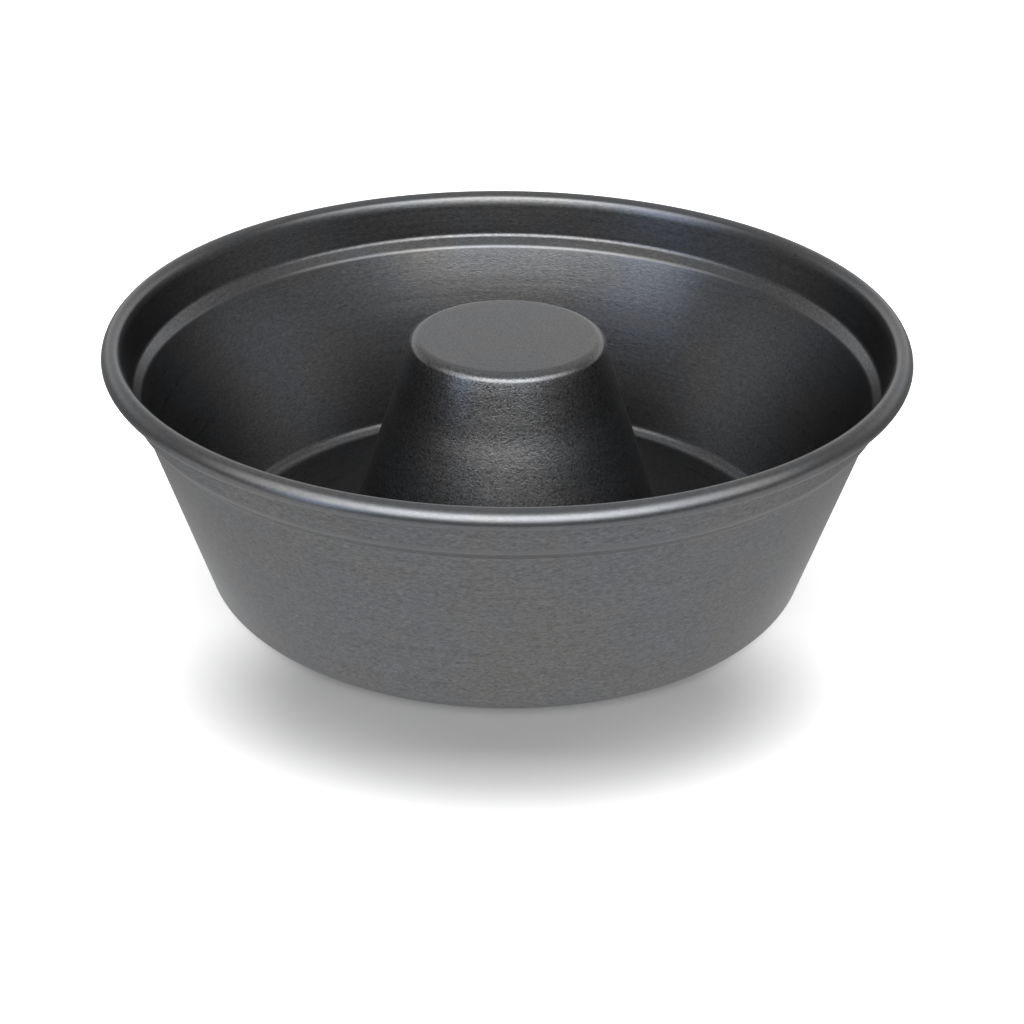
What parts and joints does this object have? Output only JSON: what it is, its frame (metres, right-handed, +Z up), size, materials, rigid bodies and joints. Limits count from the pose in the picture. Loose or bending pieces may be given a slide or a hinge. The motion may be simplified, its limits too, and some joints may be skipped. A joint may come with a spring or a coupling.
{
  "type": "tube pan",
  "caption": "Round sheet-metal tube pan for ring cakes and puddings: tapered bowl with a rolled wired rim, a stepped collar and a closed conical centre tube.",
  "frame": {"origin": "centre of the base, on the surface that the pan stands on", "axes": "+Z up along the pan's axis of revolution, -Y towards the viewer of the picture, +X to the viewer's right"},
  "size_m": [0.24, 0.24, 0.078],
  "materials": {
    "shell_coat": "dark graphite satin non-stick coat on drawn sheet",
    "tube_coat": "dark graphite satin non-stick coat on drawn sheet",
    "wire_steel": "plain drawn steel wire"
  },
  "bodies": {
    "root": {"pan_shell": "shell_coat", "centre_tube": "tube_coat", "rim_wire": "wire_steel"}
  },
  "joints": []
}
